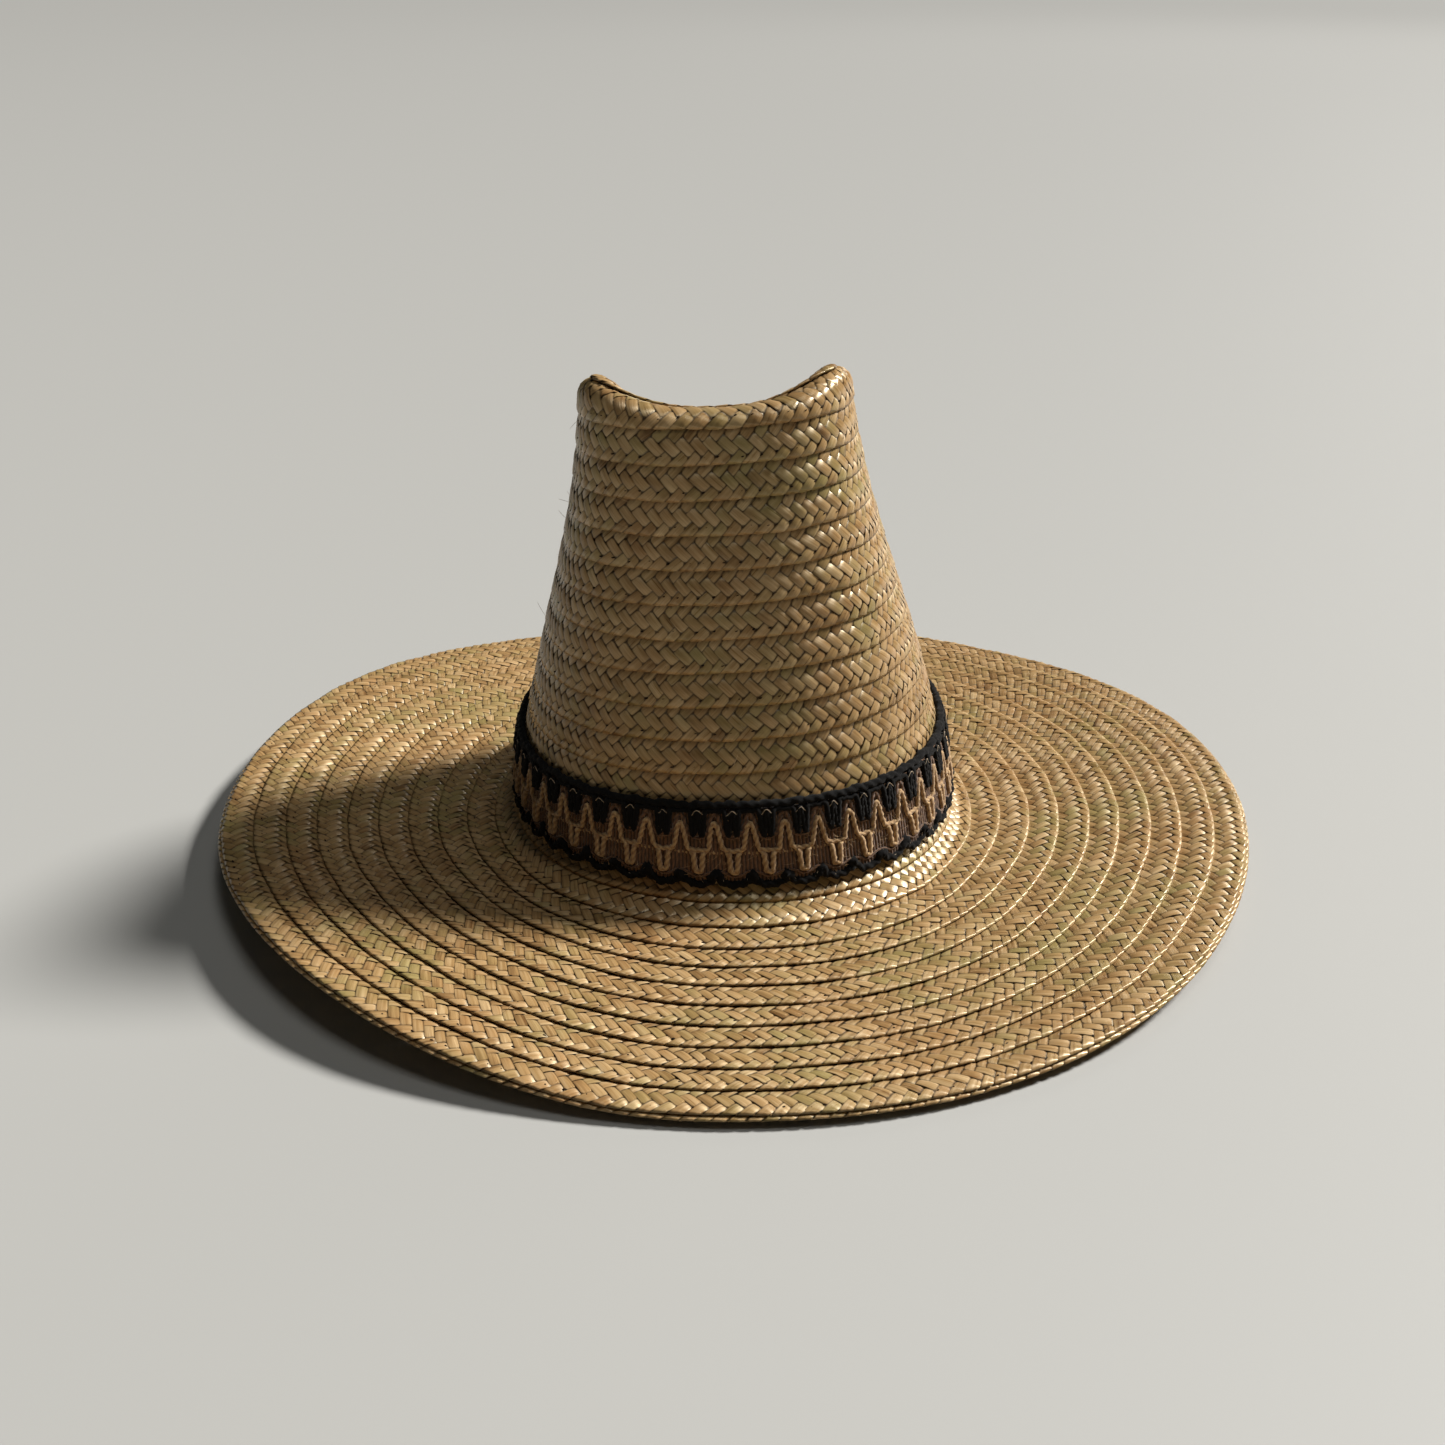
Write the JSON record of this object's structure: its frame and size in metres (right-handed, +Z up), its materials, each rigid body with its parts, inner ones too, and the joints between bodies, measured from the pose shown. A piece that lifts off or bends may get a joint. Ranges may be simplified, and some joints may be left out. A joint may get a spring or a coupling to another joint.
{
  "type": "plaited straw sun hat",
  "caption": "Wide-brimmed plaited straw hat with a tall tapered crown creased front to back and a corded woven hatband; shades the head.",
  "frame": {"origin": "centre of the bounding box at the plane the brim rests on", "axes": "+Z up along the crown, -Y towards the front of the hat, +X to the viewer's right when facing the front"},
  "size_m": [0.3895, 0.397, 0.1811],
  "materials": {
    "straw": "satin",
    "straw_edge": "satin",
    "jute": "matt",
    "black_yarn": "matt",
    "tan_yarn": "matt",
    "sweatband_cloth": "matt"
  },
  "bodies": {
    "root": {"crown_tip": "straw", "crown_side": "straw", "brim": "straw", "brim_edge": "straw_edge", "sweatband": "sweatband_cloth", "hatband_web": "jute", "hatband_top_cord": "black_yarn", "hatband_bottom_cord": "black_yarn", "hatband_tabs": "black_yarn", "hatband_upper_yarn": "tan_yarn", "hatband_lower_yarn": "tan_yarn"}
  },
  "joints": []
}
